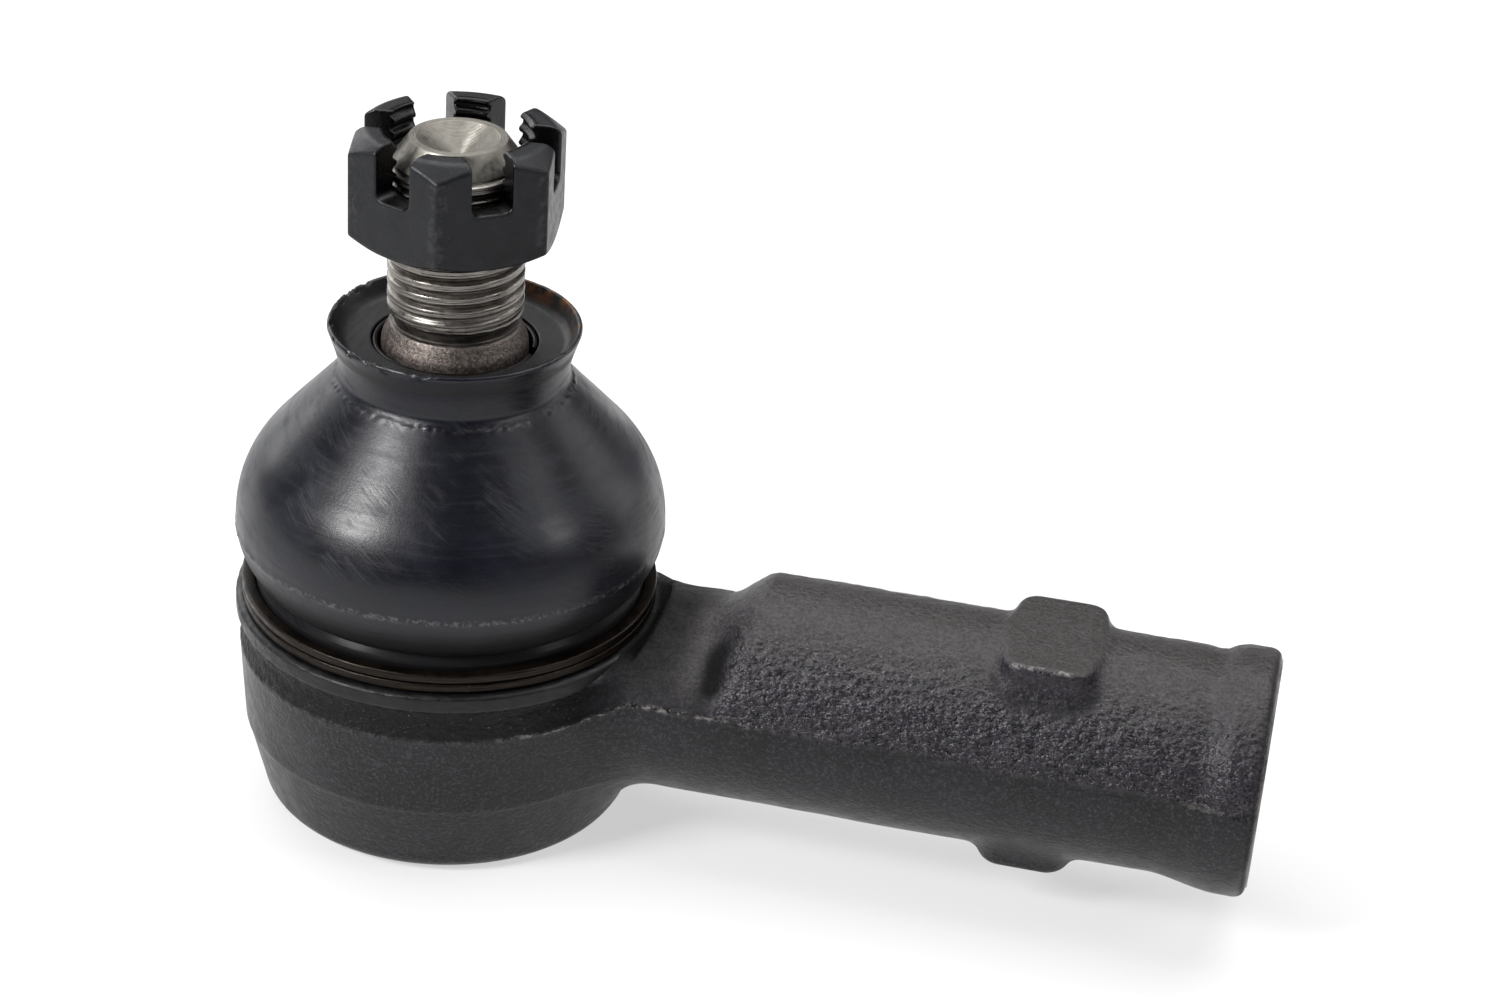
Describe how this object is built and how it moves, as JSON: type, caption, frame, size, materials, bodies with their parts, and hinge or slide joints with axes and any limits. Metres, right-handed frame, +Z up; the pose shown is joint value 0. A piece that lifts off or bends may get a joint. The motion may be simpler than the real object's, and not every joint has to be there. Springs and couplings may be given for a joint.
{
  "type": "tie rod end",
  "caption": "Tie rod end: a ball stud with a castle nut swivels in a forged housing under a rubber dust boot; the shank has a female rod thread.",
  "frame": {"origin": "centre of the ball", "axes": "+Z up the stud towards the nut, +X out along the shank, at rest"},
  "size_m": [0.0941, 0.0386, 0.0649],
  "materials": {
    "housing_steel": "phosphated forging, satin",
    "stud_steel": "machined",
    "nut_black": "black oxide, satin",
    "boot_rubber": "moulded, glossy",
    "ring_steel": "black, satin",
    "clamp_steel": "oil-blackened wire",
    "seat_plastic": "acetal",
    "spring_steel": "spring steel",
    "cap_steel": "phosphated pressing"
  },
  "bodies": {
    "housing_body": {"housing": "housing_steel", "upper_seat": "seat_plastic", "lower_seat": "seat_plastic", "preload_spring": "spring_steel", "end_cap": "cap_steel", "boot_clamp_ring": "clamp_steel"},
    "boot_body": {"dust_boot": "boot_rubber"},
    "neck_body": {"boot_neck_ring": "ring_steel"},
    "stud_body": {"ball_stud": "stud_steel"},
    "nut_body": {"castle_nut": "nut_black"}
  },
  "joints": [
    {"name": "lean_direction", "type": "hinge", "parent": "housing_body", "child": "boot_body", "pos_m": [0, 0, 0], "axis": [0, 0, 1], "continuous": true},
    {"name": "stud_lean", "type": "hinge", "parent": "boot_body", "child": "neck_body", "pos_m": [0, 0, 0], "axis": [0, 1, 0], "range_deg": [-25, 25], "deforming": ["dust_boot"]},
    {"name": "stud_spin", "type": "hinge", "parent": "neck_body", "child": "stud_body", "pos_m": [0, 0, 0], "axis": [0, 0, 1], "continuous": true},
    {"name": "nut_turn", "type": "hinge", "parent": "stud_body", "child": "nut_body", "pos_m": [0, 0, 0.0402], "axis": [0, 0, 1], "continuous": true}
  ]
}
